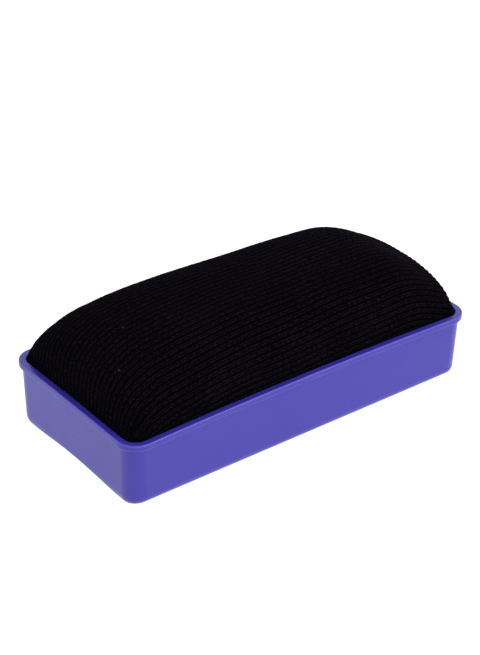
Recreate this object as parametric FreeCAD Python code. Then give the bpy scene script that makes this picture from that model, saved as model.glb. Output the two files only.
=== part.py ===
import FreeCAD, Part
import math
import os

# Chalkboard eraser: a moulded plastic tray, used as the handle, with a domed
# corduroy pad seated in it. Millimetres. X runs along the length, Y across the
# width and Z up, from the face that the tray rests on towards the pad.
# The origin is on that face, below the middle of the object.

Vector = FreeCAD.Vector

# ---- driving dimensions of the tray -------------------------------------
LENGTH = 145.0              # over the rim flange
WIDTH = 69.8                # over the rim flange
RIM_HEIGHT = 24.5           # resting face to the top of the rim
FLANGE_HEIGHT = 2.3         # depth of the band around the rim
FLANGE_OVERHANG = 1.1       # how far the band stands out from the wall
RIM_EDGE_RADIUS = 0.45      # rounding of the rim's outer edge
FLANGE_EDGE_RADIUS = 0.5    # rounding of the band's lower edge
RIM_LIP_RADIUS = 0.25       # rounding of the rim's inner edge
WALL = 1.3                  # thickness of the side walls
FLOOR = 1.8                 # thickness of the floor
END_DRAFT_ANGLE = 1.7       # degrees, the short walls lean out towards the rim
SIDE_DRAFT_ANGLE = 1.05     # degrees, the long walls lean out towards the rim
WALL_CORNER_RADIUS = 6.0    # vertical corners of the wall
FOOT_HEIGHT = 3.2           # rounding at the foot of the walls, upwards
FOOT_SIDE_INSET = 3.2       # and inwards, on the long sides
FOOT_END_INSET = 1.55       # and inwards, at the ends
FOOT_RINGS = 7              # outlines that the rounding is lofted through
LONG_BOW = 1.3              # the long walls draw in by this at the rim
SHORT_BOW = 0.15            # the short walls draw in by this at the rim
STRAIGHT_BOW = 0.02         # a side that is straight for every use
GRIP_HALF_CHORD = 26.5      # half width of the hollow under the tray
GRIP_RISE = 2.5             # height of that hollow along the middle

# ---- inside of the tray --------------------------------------------------
SEAT_HEIGHT = 10.0          # tops of the ribs and posts
RIB_WIDTH = 1.2
RIB_BITE = 0.15             # how far the ribs run into the side walls
CROSS_RIB_X = (-42.0, 0.0, 42.0)
POST_X = (-28.0, 28.0)
POST_Y = (-11.0, 11.0)
POST_RADIUS = 4.0
LUG_WIDTH = 13.0            # catch on the inside of each short wall
LUG_DEPTH = 0.35
LUG_HEIGHT = 2.6
LUG_DROP = 0.3              # rim top to the top of the catch

# ---- pad -----------------------------------------------------------------
PAD_GAP = 0.45              # between the pad and the tray wall
CLOTH = 1.2                 # corduroy, pile included
BOARD = 2.5
HEM = 13.0                  # width of cloth turned under the board
BASE_TOP = 25.0             # joint between the two layers of foam
CROWN = 22.4                # rise of the pad over the rim, at mid length
CROWN_FALL = 2.5            # the crown drops by this from mid length to the right end
SIDE_POWERS = (3.0, 2.6)    # shape of the arch across the width
LEFT_POWERS = (4.1, 4.0)    # shape of the crown line towards the left end
LEFT_FRACTION = 0.991       # it stops at this share of its own length, at an upright end
RIGHT_POWERS = (5.2, 1.12)  # the same towards the right end
RIGHT_FRACTION = 0.90
STATIONS = (-1.0, -0.9, -0.76, -0.5, 0.0, 0.5, 0.76, 0.9, 1.0)  # sections, end to end
ARCH_POINTS = 15

# ---- fastenings ----------------------------------------------------------
WIRE = 0.6                  # staple wire, square
STAPLE_CROWN = 10.0
STAPLE_LEG = 3.2
LONG_STAPLE_X = (-53.0, -31.0, -11.0, 11.0, 31.0, 53.0)
SHORT_STAPLE_Y = (-20.0, 0.0, 20.0)
STAPLE_INSET = 6.5          # edge of the pad to the line of staples
GLUE_RADIUS = 3.6
GLUE_ROUND = 0.5

WALL_LENGTH = LENGTH - 2 * FLANGE_OVERHANG
WALL_WIDTH = WIDTH - 2 * FLANGE_OVERHANG
END_DRAFT = RIM_HEIGHT * math.tan(math.radians(END_DRAFT_ANGLE))
SIDE_DRAFT = RIM_HEIGHT * math.tan(math.radians(SIDE_DRAFT_ANGLE))
GRIP_RADIUS = (GRIP_HALF_CHORD ** 2 + GRIP_RISE ** 2) / (2 * GRIP_RISE)
PAD_LENGTH = WALL_LENGTH - 2 * (WALL + PAD_GAP)
PAD_WIDTH = WALL_WIDTH - 2 * (WALL + PAD_GAP)
PAD_CORNER = WALL_CORNER_RADIUS - WALL
PAD_BOTTOM = SEAT_HEIGHT
BOARD_BOTTOM = PAD_BOTTOM + CLOTH
BOARD_TOP = BOARD_BOTTOM + BOARD
SKY = RIM_HEIGHT + 2 * CROWN
PAST = 1.0                  # how far a cutting solid runs past what it cuts


def outline(length, width, long_bow, short_bow, radius, z):
    """Rounded rectangle whose sides are shallow arcs bowed towards the middle."""
    a = length / 2
    b = width / 2
    cx = a - radius
    cy = b - radius
    long_radius = (cx ** 2 + long_bow ** 2) / (2 * long_bow) - radius
    short_radius = (cy ** 2 + short_bow ** 2) / (2 * short_bow) - radius
    corner = Vector(cx, cy, z)
    long_centre = Vector(0, b - long_bow + long_radius, z)
    short_centre = Vector(a - short_bow + short_radius, 0, z)
    to_long = (long_centre - corner).normalize()
    to_short = (short_centre - corner).normalize()
    on_long = corner + to_long * radius
    on_short = corner + to_short * radius
    between = corner + (to_long + to_short).normalize() * radius

    def placed(point, sx, sy):
        return Vector(sx * point.x, sy * point.y, z)

    turns = ((1, -1), (1, 1), (-1, 1), (-1, -1))
    edges = []
    for index, (sx, sy) in enumerate(turns):
        start = on_long if sx * sy < 0 else on_short
        end = on_short if sx * sy < 0 else on_long
        corner_arc = Part.Arc(placed(start, sx, sy), placed(between, sx, sy), placed(end, sx, sy))
        edges.append(corner_arc.toShape())
        next_x, next_y = turns[(index + 1) % 4]
        if sx == next_x:
            middle = Vector(sx * (a - short_bow), 0, z)
        else:
            middle = Vector(0, sy * (b - long_bow), z)
        side_arc = Part.Arc(placed(end, sx, sy), middle, placed(end, next_x, next_y))
        edges.append(side_arc.toShape())
    return Part.Wire(edges)


def wall_ring(z, end_inset, side_inset):
    """Level outline of the tray's outer wall face at height z, moved inwards."""
    share = z / RIM_HEIGHT
    length = WALL_LENGTH - 2 * (end_inset + END_DRAFT * (1 - share))
    width = WALL_WIDTH - 2 * (side_inset + SIDE_DRAFT * (1 - share))
    long_bow = max(LONG_BOW * share, STRAIGHT_BOW)
    short_bow = max(SHORT_BOW * share, STRAIGHT_BOW)
    return outline(length, width, long_bow, short_bow, WALL_CORNER_RADIUS - side_inset, z)


def drafted_block(thickness, bottom, top):
    """Solid inside the tray's outer wall face, moved inwards by thickness."""
    wires = [wall_ring(z, thickness, thickness) for z in (bottom, top)]
    return Part.makeLoft(wires, True, True)


def rounded_foot():
    """Lowest part of the tray, rounded in towards the resting face."""
    rings = []
    for index in range(FOOT_RINGS):
        angle = math.pi / 2 * index / (FOOT_RINGS - 1)
        drawn_in = 1 - math.sin(angle)
        z = FOOT_HEIGHT * (1 - math.cos(angle))
        rings.append(wall_ring(z, FOOT_END_INSET * drawn_in, FOOT_SIDE_INSET * drawn_in))
    return Part.makeLoft(rings, True, False)


def grip_cylinder(cover):
    """Long cylinder that hollows the underside, or the floor that lies over it."""
    radius = GRIP_RADIUS + cover
    start = Vector(-LENGTH, 0, GRIP_RISE - GRIP_RADIUS)
    return Part.makeCylinder(radius, 2 * LENGTH, start, Vector(1, 0, 0))


def level_edges(shape, z):
    """Edges of the shape that lie wholly at height z."""
    tolerance = 1e-3
    found = []
    for edge in shape.Edges:
        box = edge.BoundBox
        if abs(box.ZMin - z) < tolerance and abs(box.ZMax - z) < tolerance:
            found.append(edge)
    return found


def flange():
    """Band around the rim, with its outer edges rounded."""
    radius = WALL_CORNER_RADIUS + FLANGE_OVERHANG
    base = outline(LENGTH, WIDTH, LONG_BOW, SHORT_BOW, radius, RIM_HEIGHT - FLANGE_HEIGHT)
    band = Part.Face(base).extrude(Vector(0, 0, FLANGE_HEIGHT))
    band = band.makeFillet(RIM_EDGE_RADIUS, level_edges(band, RIM_HEIGHT))
    return band.makeFillet(FLANGE_EDGE_RADIUS, level_edges(band, RIM_HEIGHT - FLANGE_HEIGHT))


def lip_edges(shape):
    """Edges around the mouth of the tray, at the top of the wall's inner face."""
    reach_x = WALL_LENGTH / 2 - WALL / 2
    reach_y = WALL_WIDTH / 2 - WALL / 2
    found = []
    for edge in level_edges(shape, RIM_HEIGHT):
        box = edge.BoundBox
        if max(box.XMax, -box.XMin) < reach_x and max(box.YMax, -box.YMin) < reach_y:
            found.append(edge)
    return found


def seat_ribs():
    """Ribs that stiffen the floor and carry the pad, and round posts for the glue."""
    reach = CROSS_RIB_X[-1]
    parts = []
    for x in CROSS_RIB_X:
        corner = Vector(x - RIB_WIDTH / 2, -WIDTH / 2, FLOOR / 2)
        parts.append(Part.makeBox(RIB_WIDTH, WIDTH, SEAT_HEIGHT - FLOOR / 2, corner))
    corner = Vector(-reach, -RIB_WIDTH / 2, FLOOR / 2)
    parts.append(Part.makeBox(2 * reach, RIB_WIDTH, SEAT_HEIGHT - FLOOR / 2, corner))
    for x in POST_X:
        for y in POST_Y:
            foot = Vector(x, y, GRIP_RISE)
            parts.append(Part.makeCylinder(POST_RADIUS, SEAT_HEIGHT - GRIP_RISE, foot))
    return parts[0].fuse(parts[1:])


def end_lugs():
    """Low catches that stand inwards from the middle of each short wall."""
    wall_face = WALL_LENGTH / 2 - WALL - SHORT_BOW
    bottom = RIM_HEIGHT - LUG_DROP - LUG_HEIGHT
    lugs = []
    for side in (-1, 1):
        inner = side * (wall_face - LUG_DEPTH)
        outer = side * (wall_face + WALL / 2)
        corner = Vector(min(inner, outer), -LUG_WIDTH / 2, bottom)
        lugs.append(Part.makeBox(abs(outer - inner), LUG_WIDTH, LUG_HEIGHT, corner))
    return lugs


def handle_shell():
    """The moulded tray: wall, flange, hollowed floor, ribs, posts and catches."""
    wall = drafted_block(0, FOOT_HEIGHT, RIM_HEIGHT)
    body = wall.fuse([rounded_foot(), flange()])
    cavity = drafted_block(WALL, FLOOR, RIM_HEIGHT + PAST)
    cavity = cavity.cut(grip_cylinder(FLOOR))
    shell = body.cut(cavity)
    shell = shell.makeFillet(RIM_LIP_RADIUS, lip_edges(shell))
    ribs = seat_ribs().common(drafted_block(WALL - RIB_BITE, FLOOR / 2, SEAT_HEIGHT + PAST))
    shell = shell.fuse([ribs] + end_lugs())
    shell = shell.cut(grip_cylinder(0))
    return shell.removeSplitter()


def crown_height(t, inset):
    """Rise of the crown line over the rim at t, from -1 at the left to 1 at the right."""
    outer, inner = LEFT_POWERS if t < 0 else RIGHT_POWERS
    fraction = LEFT_FRACTION if t < 0 else RIGHT_FRACTION
    rounded = (1 - abs(t * fraction) ** outer) ** (1 / inner)
    return (CROWN - CROWN_FALL * t) * rounded - inset


def pad_section(t, inset, bottom):
    """Closed outline across the pad at t: flat base, upright sides and an arched top."""
    x = t * (PAD_LENGTH / 2 - inset)
    half = PAD_WIDTH / 2 - inset
    rise = crown_height(t, inset)
    outer, inner = SIDE_POWERS
    arch = []
    for index in range(ARCH_POINTS + 1):
        angle = math.pi * index / ARCH_POINTS
        share = math.cos(angle)
        height = (1 - abs(share) ** outer) ** (1 / inner)
        arch.append(Vector(x, half * share, RIM_HEIGHT + rise * height))
    curve = Part.BSplineCurve()
    curve.interpolate(arch)
    right_foot = Vector(x, half, bottom)
    left_foot = Vector(x, -half, bottom)
    edges = [
        curve.toShape(),
        Part.makeLine(arch[-1], left_foot),
        Part.makeLine(left_foot, right_foot),
        Part.makeLine(right_foot, arch[0]),
    ]
    return Part.Wire(edges)


def pad_solid(inset, bottom):
    """Domed block, lofted along the length, then trimmed to the tray's plan shape."""
    loft = Part.makeLoft([pad_section(t, inset, bottom) for t in STATIONS], True, False)
    length = PAD_LENGTH - 2 * inset
    width = PAD_WIDTH - 2 * inset
    plan = outline(length, width, LONG_BOW, SHORT_BOW, PAD_CORNER - inset, bottom)
    prism = Part.Face(plan).extrude(Vector(0, 0, SKY))
    return loft.common(prism)


def slab(bottom, top):
    """Wide block between two heights, to slice the pad's filling into layers."""
    corner = Vector(-LENGTH, -WIDTH, bottom)
    return Part.makeBox(2 * LENGTH, 2 * WIDTH, top - bottom, corner)


def staple(x, y, along_x):
    """Square-wire staple under the hem, with both legs driven up into the board."""
    crown = Part.makeBox(STAPLE_CROWN, WIRE, WIRE, Vector(-STAPLE_CROWN / 2, -WIRE / 2, -WIRE))
    legs = []
    for side in (-1, 1):
        start = side * (STAPLE_CROWN - WIRE) / 2 - WIRE / 2
        legs.append(Part.makeBox(WIRE, WIRE, STAPLE_LEG, Vector(start, -WIRE / 2, 0)))
    wire = crown.fuse(legs).removeSplitter()
    if not along_x:
        wire.rotate(Vector(0, 0, 0), Vector(0, 0, 1), 90)
    wire.translate(Vector(x, y, PAD_BOTTOM))
    return wire


def cover_staples():
    """All the staples, along both long edges and both short edges."""
    staples = []
    for side in (-1, 1):
        for x in LONG_STAPLE_X:
            y = side * (PAD_WIDTH / 2 - LONG_BOW - STAPLE_INSET)
            staples.append(staple(x, y, True))
        for y in SHORT_STAPLE_Y:
            x = side * (PAD_LENGTH / 2 - STAPLE_INSET)
            staples.append(staple(x, y, False))
    return staples


def glue_beads():
    """Flattened beads of hot-melt glue between the posts and the board."""
    beads = []
    for x in POST_X:
        for y in POST_Y:
            bead = Part.makeCylinder(GLUE_RADIUS, CLOTH, Vector(x, y, SEAT_HEIGHT))
            beads.append(bead.makeFillet(GLUE_ROUND, level_edges(bead, BOARD_BOTTOM)))
    return beads


def corduroy_cover(filling, staples):
    """Cloth skin over the filling, turned under the board all round."""
    skin = pad_solid(0, PAD_BOTTOM).cut(filling)
    length = PAD_LENGTH - 2 * HEM
    width = PAD_WIDTH - 2 * HEM
    window = Part.makeBox(length, width, CLOTH, Vector(-length / 2, -width / 2, PAD_BOTTOM))
    return skin.cut([window] + staples)


def write(name, shape):
    """Check one sub-part and write it to its own file."""
    for solid in shape.Solids:
        if not solid.isValid():
            raise ValueError(name + " has a solid that is not valid")
    shape.exportStep(os.path.join("parts", name + ".step"))
    print("%-18s %2d solids  %9.1f mm3" % (name, len(shape.Solids), shape.Volume))


def main():
    os.makedirs("parts", exist_ok=True)
    filling = pad_solid(CLOTH, BOARD_BOTTOM)
    staples = cover_staples()
    write("handle_shell", handle_shell())
    write("backing_board", filling.common(slab(BOARD_BOTTOM, BOARD_TOP)).cut(staples))
    write("foam_base", filling.common(slab(BOARD_TOP, BASE_TOP)))
    write("foam_crown", filling.common(slab(BASE_TOP, SKY)))
    write("corduroy_cover", corduroy_cover(filling, staples))
    write("cover_staples", Part.makeCompound(staples))
    write("glue_beads", Part.makeCompound(glue_beads()))


main()
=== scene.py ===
import math
import bmesh
import bpy
import numpy as np
from mathutils import Matrix, Vector


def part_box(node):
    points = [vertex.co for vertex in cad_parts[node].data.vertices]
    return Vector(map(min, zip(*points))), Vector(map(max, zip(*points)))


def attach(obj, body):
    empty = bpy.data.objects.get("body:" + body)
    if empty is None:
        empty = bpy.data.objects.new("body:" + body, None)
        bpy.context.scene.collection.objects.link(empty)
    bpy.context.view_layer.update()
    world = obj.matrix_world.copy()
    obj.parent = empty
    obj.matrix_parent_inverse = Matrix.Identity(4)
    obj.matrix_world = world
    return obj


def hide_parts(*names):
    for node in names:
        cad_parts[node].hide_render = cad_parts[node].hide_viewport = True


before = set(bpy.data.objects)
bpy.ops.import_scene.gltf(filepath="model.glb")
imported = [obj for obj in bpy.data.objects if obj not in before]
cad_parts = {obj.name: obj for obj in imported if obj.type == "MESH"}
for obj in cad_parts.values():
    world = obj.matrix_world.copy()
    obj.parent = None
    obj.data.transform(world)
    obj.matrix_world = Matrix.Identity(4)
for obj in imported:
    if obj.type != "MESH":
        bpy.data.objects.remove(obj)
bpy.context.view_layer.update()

# Chalkboard eraser: plastic tray with a domed corduroy pad. Lengths are in metres,
# in the CAD frame, and MM turns a length in millimetres into metres.
MM = 0.001
TAU = 2 * math.pi
SEED = 20

# ---- camera and studio -----------------------------------------------------
CAMERA_AZIMUTH = math.radians(-38.357)
CAMERA_ELEVATION = math.radians(31.031)
CAMERA_ROLL = math.radians(1.329)
CAMERA_DISTANCE = 669.336 * MM
CAMERA_SIDEWAYS = 1.520 * MM     # how far the origin lies to the right of the camera's axis
CAMERA_UPWARDS = -23.060 * MM    # and above it
LENS = 105.58                    # millimetres, for a 36 mm sensor along the taller side
STUDIO = 1.15                    # brightness of the white room
FLOOR_GLOW = 1.0                 # the floor is lit from below, so that it hardly takes a shadow
FLOOR_SIZE = 4.0
FLOOR_DROP = 0.1 * MM            # just clear of the tray's feet
SOFTBOX_PLACE = (0.15, -0.6, 0.35)
SOFTBOX_AIM = (0, 0, 0.03)
SOFTBOX_SIZE = (0.5, 0.5)
SOFTBOX_POWER = 2.5              # watts

# ---- pad -------------------------------------------------------------------
tray_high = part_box("handle_shell")[1]
pad_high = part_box("corduroy_cover")[1]
RIM = tray_high.z
PAD_HALF_LENGTH = pad_high.x
PAD_HALF_WIDTH = pad_high.y
PAD_CORNER = 4.7 * MM            # vertical corners of the pad, in plan
SIDE_BOW = 1.3 * MM              # the long sides draw in by this at mid length
CLOTH = 1.2 * MM                 # thickness of the corduroy

# rise of the crown line over the rim, in millimetres, at shares of the half length
CROWN_LINE = (
    (-1.0, 8.2), (-0.985, 12.2), (-0.95, 15.9), (-0.85, 20.0), (-0.65, 22.3), (-0.3, 23.1),
    (0.1, 21.9), (0.5, 20.7), (0.75, 18.6), (0.84, 15.9), (0.9, 13.6), (0.97, 11.3), (1.0, 10.0),
)
MIDDLE_ARCH = (2.7, 3.0)         # powers of the arch across the width, at mid length
LEFT_ARCH = (3.0, 1.1)           # and at the two ends
RIGHT_ARCH = (2.7, 1.45)
END_REACH = 3.8                  # how late the arch turns from one into the other
SECTION_POINTS = 400             # points from the crown down to the rim, on one side

# ---- corduroy --------------------------------------------------------------
WALE = 2.2 * MM                  # spacing of the ribs
WALE_HEIGHT = 0.36 * MM
WALE_SKEW = 0.065                # the cloth lies a little askew on the pad
COLUMN = 0.29 * MM               # mesh spacing across the ribs
STEP = 0.85 * MM                 # and along them
TUCK = 4.0 * MM                  # the fine cloth goes this far below the rim
CORNER_STATIONS = 11
LINT = ((-63.2, -15.8, 41.2), (-52.1, -2.0, 46.1))   # two specks of lint, in millimetres
LINT_SIZE = 0.55 * MM
WANDER = 0.07                    # the ribs stray sideways by about this share of their spacing
SLOW_WANDER = (17.0 * MM, 9.0 * MM)     # a radian of each wave, along and across the ribs
QUICK_WANDER = (6.0 * MM, 14.0 * MM)
WALE_SPLIT = 0.18                # share of the height that flattens the ribs' tops
PILE = 0.03 * MM                 # unevenness of the pile from tuft to tuft

# rows of the cloth below the tuck: height in millimetres, and millimetres inwards
SKIRT = (
    (16.5, 0.0), (12.6, 0.0), (11.1, 0.12), (10.4, 0.5), (10.1, 1.2), (10.05, 2.4),
    (10.05, 5.0), (10.05, 9.0), (10.05, 12.4), (10.3, 12.9), (10.9, 12.9), (11.1, 12.5),
)

# folds gathered at the corners of the pad: foot, head, height and half width in millimetres
PLEATS = (
    ((-66.8, -31.0, 27.0), (-60.0, -29.4, 34.5), 1.6, 1.2),
    ((-69.6, -27.0, 25.0), (-67.8, -25.0, 31.0), 0.4, 1.3),
    ((67.5, -31.4, 25.0), (64.0, -28.6, 33.0), 0.5, 1.5),
    ((-67.5, 31.4, 25.0), (-64.0, 28.6, 31.0), 0.3, 1.6),
    ((67.0, 31.6, 25.0), (62.5, 29.0, 31.0), 0.3, 1.5),
)

FURROW_PLACE = 1.9               # dip beside each fold, in half widths from its middle
FURROW_DEPTH = 0.5               # as a share of the fold's height

# ---- foam inside the cloth --------------------------------------------------
FOAM_STEP = 2.2 * MM             # mesh spacing along the pad
FOAM_COLUMN = 2.0 * MM           # and across it
FOAM_CORNER_STATIONS = 7
FOAM_GAP = 0.4 * MM              # clearance inside the cloth
FOAM_CEILING = 40 * MM           # a height over the rim that clears the dome

# ---- cloth simulation of the pad -------------------------------------------
SWELL = 2.5 * MM                 # no point may move further than this
LUMP = 0.2 * MM                  # unevenness of the swelling, at most
SIM_SCALE = 10                   # it is simulated ten times as large
SIM_VOXEL = 4.6 * MM
SIM_FRAMES = 20
SIM_PRESSURE = 4.0
SIM_BLUR = 4.5 * MM              # how smoothly its movement is carried over to the cloth
SIM_STEP = 3.5 * MM              # mesh spacing of its form along the pad
SIM_COLUMN = 3.0 * MM            # and across it
SIM_CORNER_STATIONS = 5
SIM_HOLD = 3.0 * MM              # its movement fades in over this height above the rim
SIM_BATCH = 4000                 # points carried over at a time


def smoothstep(x):
    x = np.clip(x, 0, 1)
    return x * x * (3 - 2 * x)


# ---- form of the pad ---------------------------------------------------------
def crown_line(t):
    """Rise of the crown line over the rim at t, a share of the half length."""
    at = np.array([p[0] for p in CROWN_LINE])
    rise = np.array([p[1] for p in CROWN_LINE]) * MM
    gap = np.diff(at)
    slope = np.diff(rise) / gap
    tangent = np.concatenate([slope[:1], slope[1:], slope[-1:]])
    tangent[1:-1] = (slope[:-1] * gap[1:] + slope[1:] * gap[:-1]) / (gap[1:] + gap[:-1])
    i = np.clip(np.searchsorted(at, t) - 1, 0, len(gap) - 1)
    u = (t - at[i]) / gap[i]
    ends = rise[i] + (rise[i + 1] - rise[i]) * u * u * (3 - 2 * u)
    lean = tangent[i] * u * (1 - u) ** 2 - tangent[i + 1] * u * u * (1 - u)
    return ends + lean * gap[i]


def half_width(x):
    """Half the pad's width at x, with bowed long sides and rounded corners in plan."""
    t = np.clip(np.abs(x) / PAD_HALF_LENGTH, 0, 1)
    into = np.clip(np.abs(x) - (PAD_HALF_LENGTH - PAD_CORNER), 0, PAD_CORNER)
    corner = np.sqrt(np.maximum(PAD_CORNER ** 2 - into ** 2, 0)) - PAD_CORNER
    return PAD_HALF_WIDTH - SIDE_BOW * (1 - t ** 2) + corner


def arch(x, share):
    """Height over the rim at x and at a share, 0 to 1, of the half width."""
    t = x / PAD_HALF_LENGTH
    turned = np.abs(t) ** END_REACH
    end = LEFT_ARCH if t < 0 else RIGHT_ARCH
    p = MIDDLE_ARCH[0] + (end[0] - MIDDLE_ARCH[0]) * turned
    q = MIDDLE_ARCH[1] + (end[1] - MIDDLE_ARCH[1]) * turned
    return crown_line(t) * np.maximum(1 - share ** p, 0) ** (1 / q)


def section(x, low):
    """Points (y, z) from the crown down one side to the height low, with their arc length."""
    share = np.sin(np.linspace(0, math.pi / 2, SECTION_POINTS))
    y = np.append(share, 1) * half_width(x)
    z = np.append(RIM + arch(x, share), low)
    return y, z, np.concatenate([[0], np.cumsum(np.hypot(np.diff(y), np.diff(z)))])


def station_positions(step, corner_count):
    """x of the sections, closer together round the corners at the two ends."""
    flat = PAD_HALF_LENGTH - PAD_CORNER
    inner = np.linspace(-flat, flat, int(2 * flat / step) + 1)
    turn = np.linspace(0, math.pi / 2, corner_count)[1:]
    corner = flat + PAD_CORNER * np.sin(turn)
    return np.concatenate([-corner[::-1], inner, corner])


class Sheet:
    """Cloth as points and faces, with each point's place on the flat cloth."""

    def __init__(self):
        self.points = []
        self.flat = []       # (along, across) the ribs, from the middle of the pad
        self.faces = []

    def add(self, point, along, across):
        self.points.append(point)
        self.flat.append((along, across))
        return len(self.points) - 1


def build_sheet(step, column, corner_count, tuck):
    """Cloth over the dome down to the tuck on all sides, and the loop along its edge.

    Sections across the pad carry the arch, and their columns keep the flat cloth's
    spacing down to the rim. At each end, rows go on straight down from the last
    section, and share its points along the two upright corner lines.
    """
    sheet = Sheet()
    low = RIM - tuck
    xs = station_positions(step, corner_count)
    rise = crown_line(xs / PAD_HALF_LENGTH)
    run = np.concatenate([[0], np.cumsum(np.hypot(np.diff(xs), np.diff(rise)))])
    run -= np.interp(0, xs, run)
    half = int(round(section(0.0, low)[2][-1] / column))
    reach = np.arange(half + 1) * column
    signs = np.arange(-half, half + 1)
    grid = np.zeros((len(xs), 2 * half + 1), int)
    foot = []
    for i, x in enumerate(xs):
        y, z, length = section(x, low)
        at_rim = min(int(length[-2] / column), half - 2)
        foot.append(at_rim)
        below = np.clip((reach - reach[at_rim]) / (reach[-1] - reach[at_rim]), 0, 1)
        arc = np.minimum(reach, reach[at_rim]) + below * (length[-1] - reach[at_rim])
        yy = np.interp(arc, length, y)
        zz = np.interp(arc, length, z)
        for j in signs:
            k = abs(j)
            s = 1 if j > 0 else -1
            grid[i, j + half] = sheet.add((x, s * yy[k], zz[k]), run[i], s * reach[k])
    for i in range(len(xs) - 1):
        for j in range(2 * half):
            sheet.faces.append((grid[i, j], grid[i + 1, j], grid[i + 1, j + 1], grid[i, j + 1]))
    edge = {}
    for side, i in ((-1, 0), (1, len(xs) - 1)):
        last = foot[i]
        flat_half = half_width(xs[i])
        above = [grid[i, j + half] for j in range(-last, last + 1)]
        tops = [sheet.points[p] for p in above]
        for r in range(1, half - last + 1):
            row = [grid[i, half - last - r]]
            level = r / (half - last)
            for j in range(1 - last, last):
                top = tops[j + last]
                z = top[2] + (low - top[2]) * level
                down = smoothstep((top[2] - z) / max(top[2] - RIM, MM))
                even = flat_half * j / last
                y = top[1] + (even - top[1]) * down
                along = run[i] + side * (top[2] - z)
                row.append(sheet.add((xs[i], y, z), along, column * j))
            row.append(grid[i, half + last + r])
            for j in range(2 * last):
                face = (above[j], above[j + 1], row[j + 1], row[j])
                sheet.faces.append(face if side < 0 else face[::-1])
            above = row
        edge[side] = above
    near = list(grid[:, 0])
    far = list(grid[:, 2 * half])
    loop = near + edge[1][1:-1] + far[::-1] + edge[-1][1:-1][::-1]
    return sheet, loop


def normals_of(points, faces):
    """Unit normal at each point, from the faces round it."""
    quads = np.array(faces)
    a, b, c, d = (points[quads[:, k]] for k in range(4))
    face_normal = np.cross(c - a, d - b)
    total = np.zeros_like(points)
    for k in range(4):
        np.add.at(total, quads[:, k], face_normal)
    return total / np.maximum(np.linalg.norm(total, axis=1, keepdims=True), 1e-12)


def wale_phase(along, across):
    """Count of ribs from the middle of the pad, with a slight wander."""
    slow = np.sin(along / SLOW_WANDER[0] + across / SLOW_WANDER[1])
    quick = np.sin(along / QUICK_WANDER[0] - across / QUICK_WANDER[1])
    return (across - WALE_SKEW * along) / WALE + WANDER * (slow + quick)


def wale_height(phase):
    """Profile of the ribs over the mean surface of the cloth, from -1 to 1."""
    whole = np.cos(TAU * phase)
    split = np.cos(2 * TAU * phase)
    return (1 - WALE_SPLIT) * whole - WALE_SPLIT * split


def pleat_height(points):
    """Height of the folds gathered at the corners of the pad."""
    total = np.zeros(len(points))
    for foot, head, height, half in PLEATS:
        foot = np.array(foot) * MM
        run = np.array(head) * MM - foot
        along = (points - foot) @ run / (run @ run)
        apart = np.linalg.norm(points - foot - np.outer(along, run), axis=1) / (half * MM)
        ridge = np.exp(-apart ** 2) - FURROW_DEPTH * np.exp(-(apart - FURROW_PLACE) ** 2)
        fade = smoothstep(1.6 - along) * smoothstep(1 + 2.5 * along)
        total += height * MM * ridge * fade
    return total


def link(name, me):
    ob = bpy.data.objects.new(name, me)
    bpy.context.scene.collection.objects.link(ob)
    return ob


def mesh_points(me):
    flat = np.zeros(3 * len(me.vertices))
    me.vertices.foreach_get("co", flat)
    return flat.reshape(-1, 3)


def swell(points, faces, loop):
    """Cloth simulation of a closed form under pressure: where its points start and how they move."""
    me = bpy.data.meshes.new("swell_form")
    me.from_pydata((points * SIM_SCALE).tolist(), [], faces + [tuple(loop)])
    form = link("swell_form", me)
    remesh = form.modifiers.new("remesh", "REMESH")
    remesh.mode = "VOXEL"
    remesh.voxel_size = SIM_VOXEL * SIM_SCALE
    graph = bpy.context.evaluated_depsgraph_get()
    bag = link("swell_bag", bpy.data.meshes.new_from_object(form.evaluated_get(graph)))
    start = mesh_points(bag.data)
    held = [i for i, z in enumerate(start[:, 2]) if z < RIM * SIM_SCALE]
    bag.vertex_groups.new(name="held").add(held, 1.0, "REPLACE")
    settings = bag.modifiers.new("cloth", "CLOTH").settings
    settings.use_pressure = True
    settings.uniform_pressure_force = SIM_PRESSURE
    settings.effector_weights.gravity = 0
    settings.vertex_group_mass = "held"
    for step in range(1, SIM_FRAMES + 1):
        bpy.context.scene.frame_set(step)
    graph = bpy.context.evaluated_depsgraph_get()
    move = (mesh_points(bag.evaluated_get(graph).to_mesh()) - start) / SIM_SCALE
    size = np.linalg.norm(move, axis=1, keepdims=True)
    move *= np.minimum(1, SWELL / np.maximum(size, MM / 1000))
    bpy.context.scene.frame_set(1)
    bpy.data.objects.remove(bag)
    bpy.data.objects.remove(form)
    return start / SIM_SCALE, move


def carried(points, start, move):
    """The simulated movement at other points, as a smooth average of the nearest."""
    result = np.zeros_like(points)
    for first in range(0, len(points), SIM_BATCH):
        batch = slice(first, first + SIM_BATCH)
        gap = points[batch, None, :] - start[None, :, :]
        weight = np.exp(-(gap ** 2).sum(axis=2) / (2 * SIM_BLUR ** 2))
        result[batch] = weight @ move / weight.sum(axis=1, keepdims=True)
    return result * smoothstep((points[:, 2:] - RIM) / SIM_HOLD)


def swollen(points):
    """Points of the cloth after the simulation.

    A first run shows how the form swells. The second starts from a form that is
    slacker by as much, so that it swells into the shape of the finished pad.
    """
    sheet, loop = build_sheet(SIM_STEP, SIM_COLUMN, SIM_CORNER_STATIONS, TUCK)
    form = np.array(sheet.points)
    first = swell(form, sheet.faces, loop)
    second = swell(form - carried(form, *first), sheet.faces, loop)
    taken = carried(points, *first)
    settled = carried(points - taken, *second) - taken
    size = np.linalg.norm(settled, axis=1, keepdims=True)
    return points + settled / np.sqrt(1 + (size / LUMP) ** 2)


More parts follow.
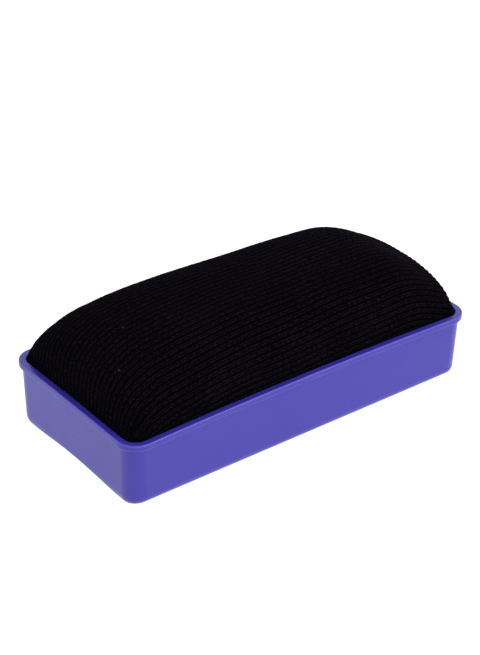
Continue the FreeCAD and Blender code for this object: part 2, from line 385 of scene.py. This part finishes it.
def add_skirt(sheet, loop, points):
    """Rows that take the cloth on down inside the tray and in under the board."""
    rows = [loop]
    place = list(map(tuple, points))
    for height, inward in SKIRT:
        row = []
        for index in loop:
            x, y, z = points[index]
            along, across = sheet.flat[index]
            inset_x = 1 - inward * MM / PAD_HALF_LENGTH
            inset_y = 1 - inward * MM / PAD_HALF_WIDTH
            drop = z - height * MM + inward * MM
            place.append((x * inset_x, y * inset_y, height * MM))
            sheet.flat.append((along, across + math.copysign(drop, y)))
            row.append(len(place) - 1)
        rows.append(row)
    count = len(loop)
    for upper, lower in zip(rows, rows[1:]):
        for k in range(count):
            n = (k + 1) % count
            sheet.faces.append((upper[k], lower[k], lower[n], upper[n]))
    return np.array(place)


def corduroy_pad():
    """The whole cover: cloth over the dome with its ribs and folds, and the skirt below."""
    sheet, loop = build_sheet(STEP, COLUMN, CORNER_STATIONS, TUCK)
    points = np.array(sheet.points)
    points = swollen(points)
    normal = normals_of(points, sheet.faces)
    phase = wale_phase(*np.array(sheet.flat).T)
    tufts = np.random.default_rng(SEED).normal(0, PILE, len(points))
    rise = wale_height(phase) * WALE_HEIGHT / 2 + pleat_height(points) + tufts
    points = points + normal * rise[:, None]
    points = add_skirt(sheet, loop, points)
    me = bpy.data.meshes.new("corduroy_pad_cover")
    me.from_pydata(points.tolist(), [], sheet.faces)
    me.polygons.foreach_set("use_smooth", [True] * len(me.polygons))
    along, across = np.array(sheet.flat).T
    cloth = np.stack([along / WALE, wale_phase(along, across)], axis=1)
    corners = np.zeros(len(me.loops), int)
    me.loops.foreach_get("vertex_index", corners)
    me.uv_layers.new(name="cloth").data.foreach_set("uv", cloth[corners].ravel())
    me.update()
    return link("corduroy_pad_cover", me)


def foam_layer(name, low, high):
    """Layer of the pad's filling between two heights, a little inside the cloth."""
    sheet, _ = build_sheet(FOAM_STEP, FOAM_COLUMN, FOAM_CORNER_STATIONS, RIM - low + MM)
    points = np.array(sheet.points)
    points -= normals_of(points, sheet.faces) * (CLOTH + FOAM_GAP)
    me = bpy.data.meshes.new(name)
    me.from_pydata(points.tolist(), [], sheet.faces)
    bm = bmesh.new()
    bm.from_mesh(me)
    for height, keep in ((low, 1), (high, -1)):
        bmesh.ops.bisect_plane(
            bm, geom=bm.verts[:] + bm.edges[:] + bm.faces[:],
            plane_co=(0, 0, height), plane_no=(0, 0, keep), clear_inner=True,
        )
        edges = [e for e in bm.edges if e.is_boundary]
        bmesh.ops.holes_fill(bm, edges=edges)
    bmesh.ops.recalc_face_normals(bm, faces=bm.faces[:])
    bm.to_mesh(me)
    bm.free()
    me.polygons.foreach_set("use_smooth", [len(f.vertices) < 5 for f in me.polygons])
    return link(name, me)


# ---- materials ---------------------------------------------------------------
def material(name):
    m = bpy.data.materials.new(name)
    m.use_nodes = True
    tree = m.node_tree
    shader = tree.nodes["Principled BSDF"]
    return m, tree, shader


def node(tree, kind, **inputs):
    """New node whose inputs are set to values, or joined to other nodes' sockets."""
    made = tree.nodes.new(kind)
    for name, value in inputs.items():
        socket = made.inputs[name]
        if isinstance(value, bpy.types.NodeSocket):
            tree.links.new(value, socket)
        else:
            socket.default_value = value
    return made


def maths(tree, operation, first, second=0.0):
    made = tree.nodes.new("ShaderNodeMath")
    made.operation = operation
    for socket, value in zip(made.inputs, (first, second)):
        if isinstance(value, bpy.types.NodeSocket):
            tree.links.new(value, socket)
        else:
            socket.default_value = value
    return made.outputs[0]


def blend(tree, share, first, second):
    """Sum of both values, in which the second has the share given."""
    rest = maths(tree, "MULTIPLY", first, 1 - share)
    part = maths(tree, "MULTIPLY", second, share)
    return maths(tree, "ADD", rest, part)


def stretched(tree, vector, scale):
    made = tree.nodes.new("ShaderNodeMapping")
    made.inputs["Scale"].default_value = scale
    tree.links.new(vector, made.inputs["Vector"])
    return made.outputs["Vector"]


def noise(tree, vector, scale, detail=3.0):
    return node(tree, "ShaderNodeTexNoise", Vector=vector, Scale=scale, Detail=detail).outputs["Fac"]


def ramp(tree, factor, *stops):
    """Colour ramp with its stops given as (position, colour)."""
    made = node(tree, "ShaderNodeValToRGB", Fac=factor)
    elements = made.color_ramp.elements
    while len(elements) < len(stops):
        elements.new(0.5)
    for element, (position, colour) in zip(elements, stops):
        element.position = position
        element.color = (*colour, 1)
    return made.outputs["Color"]


def span(tree, value, low, high, to_low=0.0, to_high=1.0):
    """Value carried from one range to another, and held within it."""
    inputs = {"Value": value, "From Min": low, "From Max": high, "To Min": to_low, "To Max": to_high}
    return node(tree, "ShaderNodeMapRange", **inputs).outputs["Result"]


def mixed(tree, factor, first, second):
    return node(tree, "ShaderNodeMixRGB", Fac=factor, Color1=first, Color2=second).outputs["Color"]


def bump(tree, height, strength, distance):
    made = node(tree, "ShaderNodeBump", Strength=strength, Distance=distance, Height=height)
    return made.outputs["Normal"]


def object_place(tree):
    return tree.nodes.new("ShaderNodeTexCoord").outputs["Object"]


def join(tree, shader, **sockets):
    for name, socket in sockets.items():
        tree.links.new(socket, shader.inputs[name.replace("_", " ")])


def plastic():
    """Glossy moulded plastic with a painted highlight along the rounded edges of the rim and flange,
    and faint flow marks.
    """
    m, tree, shader = material("moulded_blue_plastic")
    place = object_place(tree)
    height = node(tree, "ShaderNodeSeparateXYZ", Vector=place).outputs["Z"]
    normal = tree.nodes.new("ShaderNodeNewGeometry").outputs["Normal"]
    lean = maths(tree, "ABSOLUTE", node(tree, "ShaderNodeSeparateXYZ", Vector=normal).outputs["Z"])
    cloudy = noise(tree, place, 38.0, 4.0)
    flow = noise(tree, stretched(tree, place, (1.0, 1.0, 0.1)), 300.0, 2.0)
    mottle = blend(tree, 0.08, cloudy, flow)
    body = ramp(tree, mottle, (0.3, (0.028, 0.0195, 0.262)), (0.7, (0.032, 0.0225, 0.282)))
    # painted highlight: a paler copy of the body colour on the rounded edges of the rim and flange,
    # chosen by the lean of the normal near the rim's height and broken up by noise
    painted_edge_highlight = ramp(tree, mottle, (0.3, (0.055, 0.055, 0.36)), (0.7, (0.070, 0.072, 0.42)))
    rounded = maths(tree, "MULTIPLY", span(tree, lean, 0.1, 0.3), span(tree, lean, 0.98, 0.85))
    edge_highlight_mask = maths(tree, "MULTIPLY", rounded, span(tree, height, RIM - 3.0 * MM, RIM - 2.8 * MM))
    highlight_breakup = span(tree, noise(tree, place, 900.0, 2.0), 0.3, 0.7, 0.6, 1.0)
    colour = mixed(tree, maths(tree, "MULTIPLY", edge_highlight_mask, highlight_breakup), body, painted_edge_highlight)
    gloss = span(tree, noise(tree, place, 120.0, 5.0), 0.3, 0.7, 0.25, 0.34)
    grain = blend(tree, 0.3, noise(tree, place, 2600.0, 2.0), cloudy)
    join(tree, shader, Base_Color=colour, Roughness=gloss, Normal=bump(tree, grain, 0.08, 0.04 * MM))
    shader.inputs["Specular IOR Level"].default_value = 0.42
    return m


def corduroy():
    """Black cut pile with painted shade in the grooves between the ribs and a painted highlight along
    their crests, with tufts along them and two specks of lint.
    """
    m, tree, shader = material("black_corduroy")
    place = object_place(tree)
    cloth = node(tree, "ShaderNodeUVMap")
    cloth.uv_map = "cloth"
    flat = cloth.outputs["UV"]
    ribs = node(tree, "ShaderNodeSeparateXYZ", Vector=flat).outputs["Y"]
    crest = maths(tree, "COSINE", maths(tree, "MULTIPLY", ribs, TAU))
    split = maths(tree, "COSINE", maths(tree, "MULTIPLY", ribs, 2 * TAU))
    half_crest = maths(tree, "MULTIPLY", crest, 0.5)
    half_split = maths(tree, "MULTIPLY", split, 0.5)
    shape = maths(tree, "SUBTRACT", half_crest, half_split)
    tufts = noise(tree, stretched(tree, flat, (2.0, 4.0, 1.0)), 1.0, 3.0)
    fibre = noise(tree, place, 2600.0, 3.0)
    pile = blend(tree, 0.35, tufts, fibre)
    patches = noise(tree, place, 55.0, 3.0)
    # painted shade and highlight: the colour follows the rib profile, darker in the grooves and paler
    # on the crests, varied by the pile
    painted_rib_shade = maths(tree, "MULTIPLY", span(tree, shape, -1.0, 0.6), span(tree, pile, 0.36, 0.64, 0.15, 1.0))
    tone = blend(tree, 0.2, painted_rib_shade, patches)
    colour = ramp(
        tree, tone, (0.1, (0.0004, 0.0003, 0.0006)), (0.4, (0.0013, 0.001, 0.0017)),
        (0.85, (0.0072, 0.0058, 0.0088)),
    )
    for spot in LINT:
        apart = tree.nodes.new("ShaderNodeVectorMath")
        apart.operation = "DISTANCE"
        tree.links.new(place, apart.inputs[0])
        apart.inputs[1].default_value = Vector(spot) * MM
        speck = span(tree, apart.outputs["Value"], LINT_SIZE, 0.4 * LINT_SIZE, 0.0, 0.8)
        colour = mixed(tree, maths(tree, "MULTIPLY", speck, fibre), colour, (0.045, 0.042, 0.048, 1))
    rough = span(tree, pile, 0.3, 0.7, 0.95, 0.8)
    join(tree, shader, Base_Color=colour, Roughness=rough, Normal=bump(tree, pile, 0.7, 0.25 * MM))
    shader.inputs["Specular IOR Level"].default_value = 0.006
    shader.inputs["Sheen Weight"].default_value = 0.004
    shader.inputs["Sheen Roughness"].default_value = 0.35
    shader.inputs["Sheen Tint"].default_value = (0.8, 0.7, 1.0, 1)
    return m


def foam():
    """Open-cell foam, yellowed a little in patches."""
    m, tree, shader = material("cushion_foam")
    place = object_place(tree)
    cells = node(tree, "ShaderNodeTexVoronoi", Vector=place, Scale=900.0).outputs["Distance"]
    patches = noise(tree, place, 30.0, 4.0)
    tone = blend(tree, 0.5, patches, cells)
    colour = ramp(tree, tone, (0.2, (0.42, 0.36, 0.24)), (0.8, (0.68, 0.63, 0.48)))
    rough = span(tree, patches, 0.3, 0.7, 0.85, 1.0)
    join(tree, shader, Base_Color=colour, Roughness=rough, Normal=bump(tree, cells, 0.8, 0.5 * MM))
    return m


def hardboard():
    """Pressed brown fibre board with flecks."""
    m, tree, shader = material("pressed_hardboard")
    place = object_place(tree)
    fibres = noise(tree, stretched(tree, place, (1.0, 3.0, 3.0)), 700.0, 6.0)
    patches = noise(tree, place, 40.0, 3.0)
    tone = blend(tree, 0.4, fibres, patches)
    colour = ramp(tree, tone, (0.35, (0.09, 0.045, 0.02)), (0.65, (0.24, 0.14, 0.07)))
    rough = span(tree, fibres, 0.3, 0.7, 0.6, 0.85)
    join(tree, shader, Base_Color=colour, Roughness=rough, Normal=bump(tree, fibres, 0.5, 0.1 * MM))
    return m


def staple_wire():
    """Zinc-coated wire with drawing marks and dull patches."""
    m, tree, shader = material("zinc_coated_wire")
    place = object_place(tree)
    drawn = noise(tree, place, 1500.0, 2.0)
    patches = noise(tree, place, 300.0, 4.0)
    tone = blend(tree, 0.5, drawn, patches)
    colour = ramp(tree, tone, (0.3, (0.42, 0.43, 0.45)), (0.7, (0.66, 0.67, 0.69)))
    rough = span(tree, patches, 0.3, 0.7, 0.25, 0.5)
    join(tree, shader, Base_Color=colour, Roughness=rough, Normal=bump(tree, drawn, 0.3, 0.03 * MM))
    shader.inputs["Metallic"].default_value = 1.0
    return m


def hot_glue():
    """Hot-melt glue, milky and smooth, with small bubbles."""
    m, tree, shader = material("hot_melt_glue")
    place = object_place(tree)
    bubbles = node(tree, "ShaderNodeTexVoronoi", Vector=place, Scale=1100.0).outputs["Distance"]
    milky = noise(tree, place, 260.0, 3.0)
    colour = ramp(tree, milky, (0.3, (0.62, 0.50, 0.28)), (0.7, (0.80, 0.74, 0.55)))
    rough = span(tree, bubbles, 0.1, 0.6, 0.35, 0.22)
    join(tree, shader, Base_Color=colour, Roughness=rough, Normal=bump(tree, bubbles, 0.3, 0.15 * MM))
    shader.inputs["Subsurface Weight"].default_value = 0.3
    shader.inputs["Subsurface Scale"].default_value = MM
    return m


# ---- studio --------------------------------------------------------------------
def make_camera():
    """Camera at its azimuth, elevation and distance, shifted and rolled."""
    a, e, r = CAMERA_AZIMUTH, CAMERA_ELEVATION, CAMERA_ROLL
    back = Vector((math.sin(a) * math.cos(e), -math.cos(a) * math.cos(e), math.sin(e)))
    level = Vector((math.cos(a), math.sin(a), 0))
    upright = back.cross(level)
    right = level * math.cos(r) + upright * math.sin(r)
    up = upright * math.cos(r) - level * math.sin(r)
    data = bpy.data.cameras.new("camera")
    data.lens = LENS
    data.clip_start = 0.01
    data.clip_end = 20
    camera = bpy.data.objects.new("camera", data)
    bpy.context.scene.collection.objects.link(camera)
    place = back * CAMERA_DISTANCE - right * CAMERA_SIDEWAYS - up * CAMERA_UPWARDS
    camera.matrix_world = Matrix.Translation(place) @ Matrix((right, up, back)).transposed().to_4x4()
    bpy.context.scene.camera = camera


def make_studio():
    """White room, and a pale floor that glows enough to stay white."""
    world = bpy.data.worlds.new("studio")
    world.use_nodes = True
    world.node_tree.nodes["Background"].inputs["Color"].default_value = (1, 1, 1, 1)
    world.node_tree.nodes["Background"].inputs["Strength"].default_value = STUDIO
    world.cycles.sampling_method = "NONE"
    bpy.context.scene.world = world
    bpy.context.scene.view_settings.view_transform = "Standard"
    me = bpy.data.meshes.new("floor")
    h = FLOOR_SIZE / 2
    z = -FLOOR_DROP
    me.from_pydata([(-h, -h, z), (h, -h, z), (h, h, z), (-h, h, z)], [], [(0, 1, 2, 3)])
    floor = link("floor", me)
    m, tree, shader = material("pale_floor")
    shader.inputs["Base Color"].default_value = (0.2, 0.2, 0.2, 1)
    shader.inputs["Roughness"].default_value = 1.0
    shader.inputs["Specular IOR Level"].default_value = 0.0
    shader.inputs["Emission Color"].default_value = (1, 1, 1, 1)
    shader.inputs["Emission Strength"].default_value = FLOOR_GLOW
    m.cycles.emission_sampling = "NONE"
    me.materials.append(m)


def area_light(name, place, aim, size, power):
    data = bpy.data.lights.new(name, "AREA")
    data.shape = "RECTANGLE"
    data.size, data.size_y = size
    data.energy = power
    light = bpy.data.objects.new(name, data)
    bpy.context.scene.collection.objects.link(light)
    light.location = place
    light.rotation_euler = (Vector(aim) - Vector(place)).to_track_quat("-Z", "Y").to_euler()


def soft_piece(piece, replaced, look):
    """Give a padded piece that stands for a CAD node its material, attach it to the root body and hide
    the CAD node.
    """
    piece.data.materials.append(look)
    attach(piece, "root")
    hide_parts(replaced)


# ---- the scene itself ----------------------------------------------------------
make_camera()
make_studio()
area_light("front_softbox", SOFTBOX_PLACE, SOFTBOX_AIM, SOFTBOX_SIZE, SOFTBOX_POWER)

for name, look in (
    ("handle_shell", plastic()), ("backing_board", hardboard()),
    ("cover_staples", staple_wire()), ("glue_beads", hot_glue()),
):
    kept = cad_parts[name]
    kept.data.materials.clear()
    kept.data.materials.append(look)

soft_piece(corduroy_pad(), "corduroy_cover", corduroy())
foam_look = foam()
foam_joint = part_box("foam_crown")[0].z
foam_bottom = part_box("foam_base")[0].z
dome = foam_layer("foam_dome", foam_joint, RIM + FOAM_CEILING)
slab = foam_layer("foam_slab", foam_bottom, foam_joint)
soft_piece(dome, "foam_crown", foam_look)
soft_piece(slab, "foam_base", foam_look)
